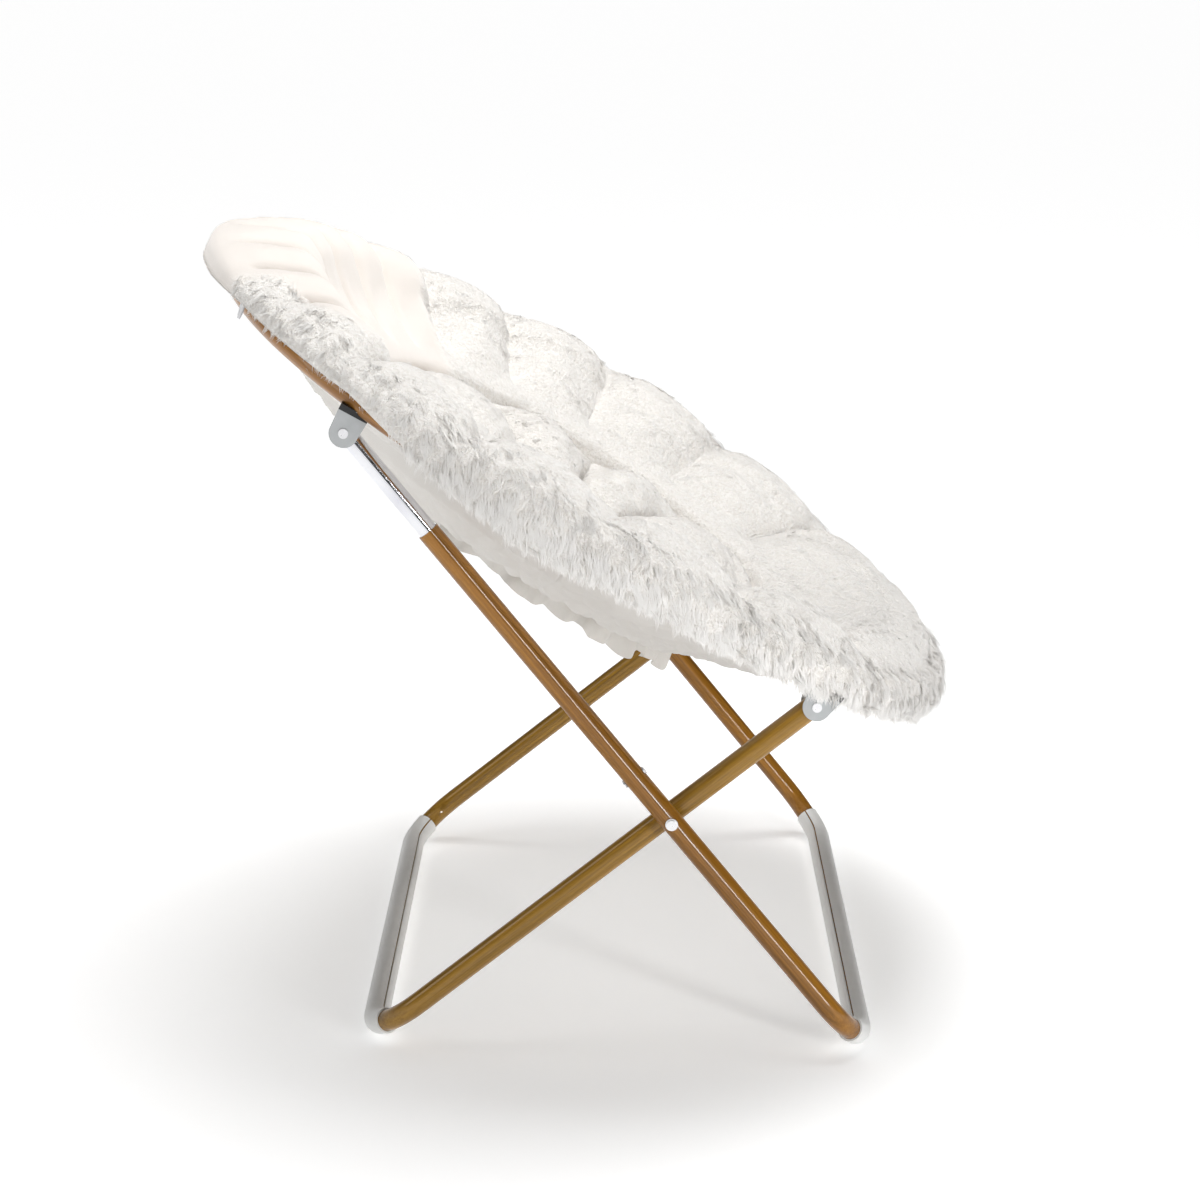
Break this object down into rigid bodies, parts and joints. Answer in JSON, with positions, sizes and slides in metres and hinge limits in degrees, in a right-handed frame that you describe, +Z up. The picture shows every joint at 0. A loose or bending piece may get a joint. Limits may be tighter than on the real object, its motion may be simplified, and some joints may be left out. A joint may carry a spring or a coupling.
{
  "type": "folding saucer chair",
  "caption": "Round padded saucer seat on a folding frame of crossed tube legs with telescoping back legs.",
  "frame": {"origin": "on the floor, under the middle of the chair's bounding box", "axes": "+Z up, +X to the front of the chair, +Y to the sitter's left, across the chair"},
  "size_m": [0.7864, 0.894, 0.7944],
  "materials": {
    "wood_grain_tube": "glossy wood-grain print over steel tube, golden brown",
    "chrome_tube": "bright",
    "bracket_steel": "satin silver grey",
    "rivet_steel": "satin",
    "plain_steel": "zinc plated",
    "black_plastic": "moulded, matte",
    "nylon": "natural nylon",
    "white_plastic": "smooth white sleeve",
    "plush": "cream long-pile plush over soft filling",
    "lining_cloth": "smooth off-white polyester lining"
  },
  "bodies": {
    "outer_legs": {"outer_leg_frame": "wood_grain_tube", "front_floor_sleeve": "white_plastic", "cross_pivot_rivets": "rivet_steel", "cross_pivot_washers": "plain_steel", "cross_spacers": "nylon", "stop_rivets": "plain_steel"},
    "inner_legs": {"inner_leg_frame": "wood_grain_tube", "rear_floor_sleeve": "white_plastic", "inner_leg_cap_left": "black_plastic", "inner_leg_cap_right": "black_plastic"},
    "extension_left": {"leg_extension_left": "chrome_tube", "extension_guide_left": "nylon", "extension_cap_left": "black_plastic"},
    "extension_right": {"leg_extension_right": "chrome_tube", "extension_guide_right": "nylon", "extension_cap_right": "black_plastic"},
    "seat": {"ring_back_half": "wood_grain_tube", "ring_front_half": "wood_grain_tube", "ring_connector_left": "plain_steel", "back_bracket_left": "bracket_steel", "back_saddle_left": "black_plastic", "front_bracket_left": "bracket_steel", "front_saddle_left": "black_plastic", "ring_connector_right": "plain_steel", "back_bracket_right": "bracket_steel", "back_saddle_right": "black_plastic", "front_bracket_right": "bracket_steel", "front_saddle_right": "black_plastic", "ring_joint_rivets": "plain_steel", "bracket_screws": "plain_steel", "front_pivot_rivets": "rivet_steel", "back_pivot_rivets": "rivet_steel", "rim_roll": "plush", "seat_cushion": "plush", "seat_lining": "lining_cloth", "gathered_hem": "lining_cloth", "fabric_label": "lining_cloth"}
  },
  "joints": [
    {"name": "fold", "type": "hinge", "parent": "outer_legs", "child": "inner_legs", "pos_m": [0.09474, 0, 0.2526], "axis": [0, -1, 0], "range_deg": [0, 70]},
    {"name": "seat_tilt", "type": "hinge", "parent": "inner_legs", "child": "seat", "pos_m": [0.23605, 0, 0.3654], "axis": [0, 1, 0], "range_deg": [0, 83.18]},
    {"name": "extension_slide_left", "type": "slide", "parent": "outer_legs", "child": "extension_left", "axis": [-0.6266, 0, 0.7793], "range_m": [0, 0.1985]},
    {"name": "extension_slide_right", "type": "slide", "parent": "outer_legs", "child": "extension_right", "axis": [-0.6266, 0, 0.7793], "range_m": [0, 0.1985]}
  ],
  "couplings": [
    {"joint": "seat_tilt", "follows": "fold", "ratio": 1.1882},
    {"joint": "extension_slide_left", "follows": "fold", "m_per_rad": 0.1624},
    {"joint": "extension_slide_right", "follows": "fold", "m_per_rad": 0.1624}
  ]
}
